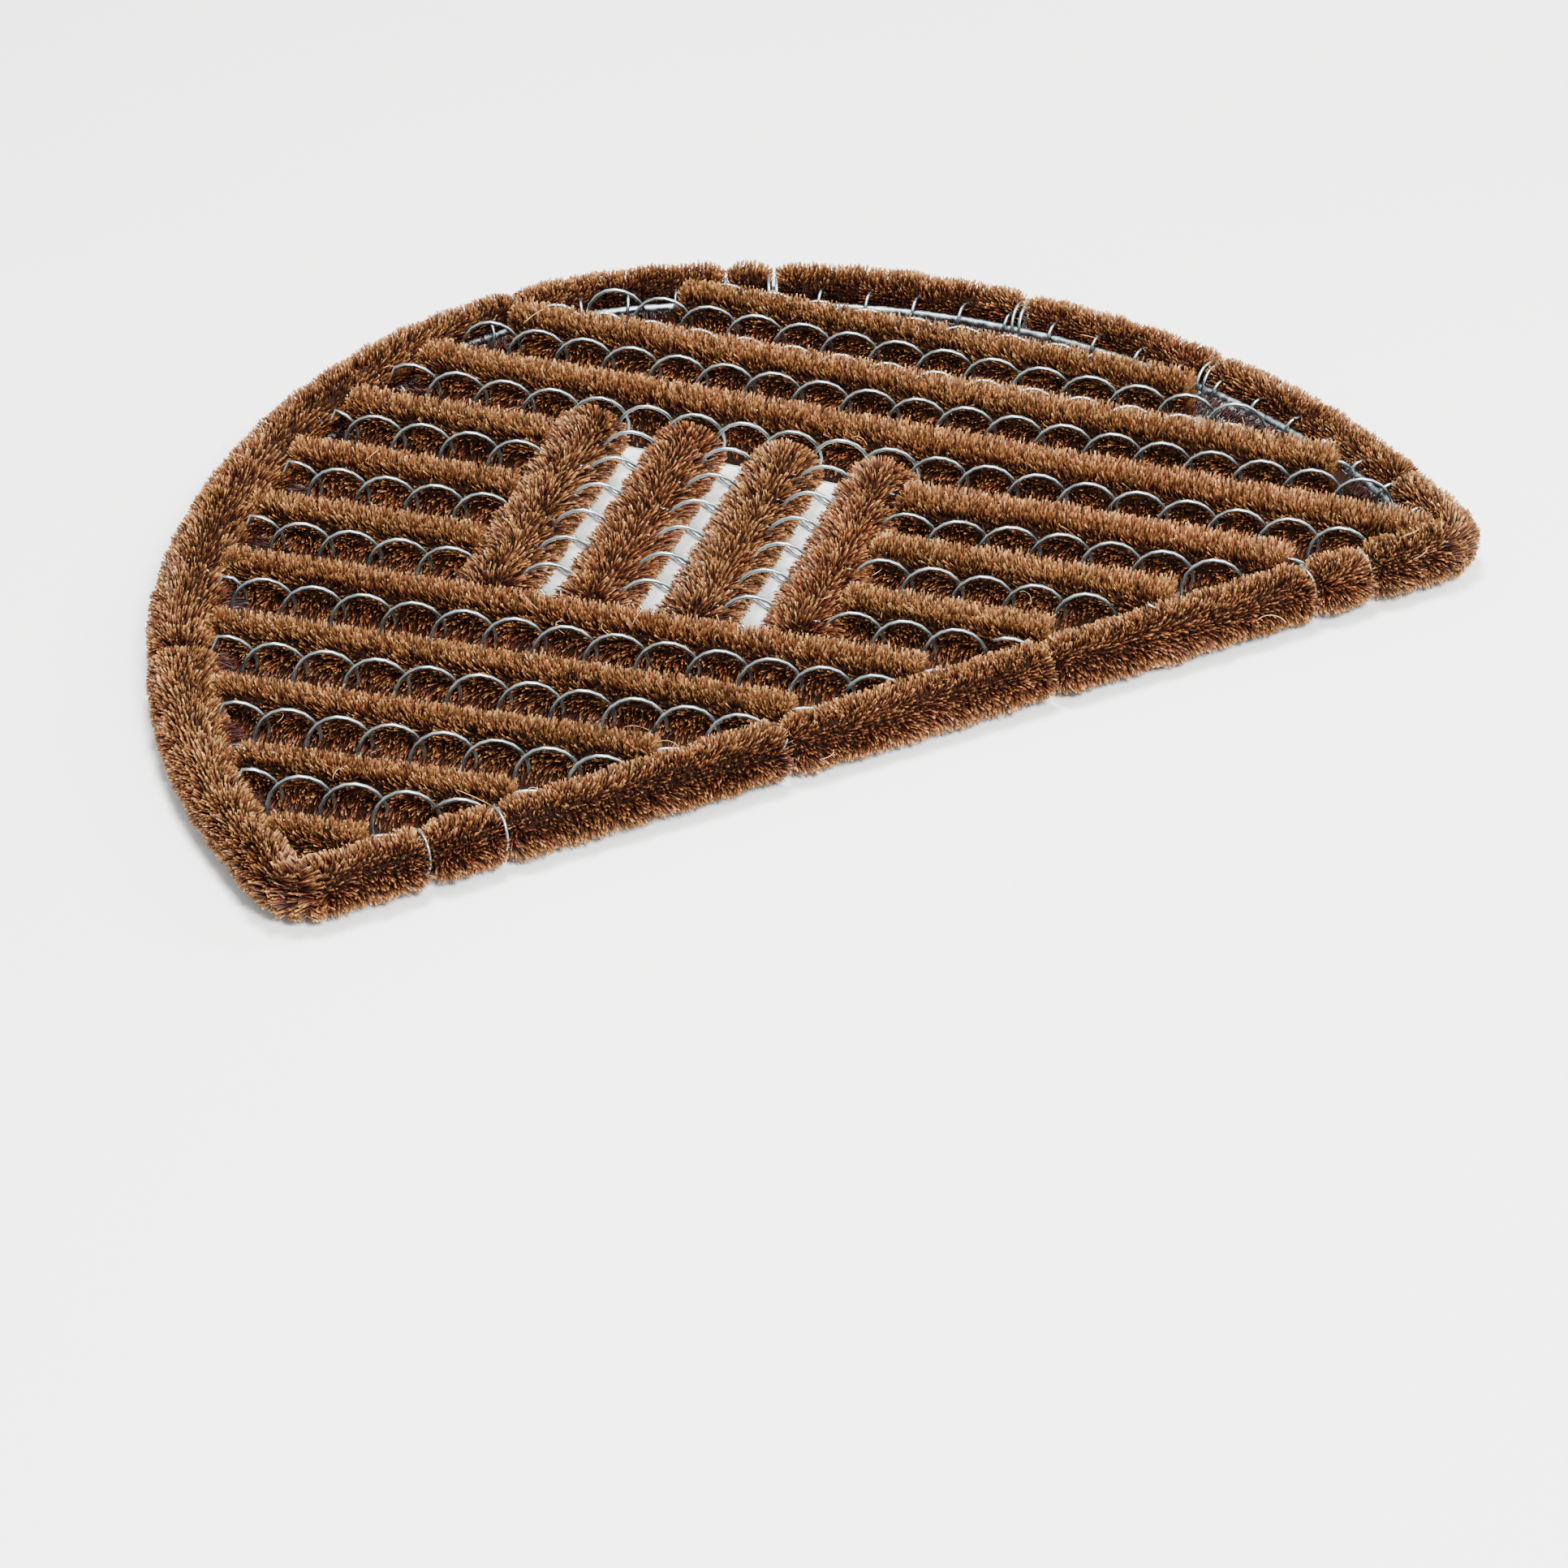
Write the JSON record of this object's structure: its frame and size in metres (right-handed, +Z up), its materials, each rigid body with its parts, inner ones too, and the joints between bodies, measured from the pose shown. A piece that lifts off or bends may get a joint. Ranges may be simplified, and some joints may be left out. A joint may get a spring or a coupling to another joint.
{
  "type": "half round doormat",
  "caption": "Flat half round scraper doormat: rows of trimmed coir brush held by interlinked wire coils on a bent steel rod, with a round brush rim.",
  "frame": {"origin": "middle of the mat's box at floor level", "axes": "+X along the straight edge, +Y from the straight edge to the arc, +Z up"},
  "size_m": [0.7495, 0.5073, 0.038],
  "materials": {
    "coir_bristle": "stiff coir fibre bristles, trimmed, matt",
    "galvanised_wire": "drawn steel wire, hot dip galvanised, half bright",
    "galvanised_rod": "round steel rod, hot dip galvanised, dull with bright patches"
  },
  "bodies": {
    "root": {"block_brush_1": "coir_bristle", "block_brush_2": "coir_bristle", "block_brush_3": "coir_bristle", "block_brush_4": "coir_bristle", "brush_row_01": "coir_bristle", "brush_row_02": "coir_bristle", "brush_row_03": "coir_bristle", "brush_row_04_left": "coir_bristle", "brush_row_04_right": "coir_bristle", "brush_row_05_left": "coir_bristle", "brush_row_05_right": "coir_bristle", "brush_row_06_left": "coir_bristle", "brush_row_06_right": "coir_bristle", "brush_row_07": "coir_bristle", "brush_row_08": "coir_bristle", "brush_row_09": "coir_bristle", "brush_row_10": "coir_bristle", "brush_row_11": "coir_bristle", "frame_rod": "galvanised_rod", "gap_coil_1": "galvanised_wire", "gap_coil_2": "galvanised_wire", "gap_coil_3": "galvanised_wire", "rim_brush_01": "coir_bristle", "rim_brush_02": "coir_bristle", "rim_brush_03": "coir_bristle", "rim_brush_04": "coir_bristle", "rim_brush_05": "coir_bristle", "rim_brush_06": "coir_bristle", "rim_brush_07": "coir_bristle", "rim_brush_08": "coir_bristle", "rim_brush_09": "coir_bristle", "rim_brush_10": "coir_bristle", "rim_brush_11": "coir_bristle", "rim_brush_12": "coir_bristle", "rim_brush_13": "coir_bristle", "wire_channel_01": "galvanised_wire", "wire_channel_02": "galvanised_wire", "wire_channel_03": "galvanised_wire", "wire_channel_04_left": "galvanised_wire", "wire_channel_04_right": "galvanised_wire", "wire_channel_05_left": "galvanised_wire", "wire_channel_05_right": "galvanised_wire", "wire_channel_06_left": "galvanised_wire", "wire_channel_06_right": "galvanised_wire", "wire_channel_07": "galvanised_wire", "wire_channel_08": "galvanised_wire", "wire_channel_09": "galvanised_wire", "wire_channel_10": "galvanised_wire"}
  },
  "joints": []
}
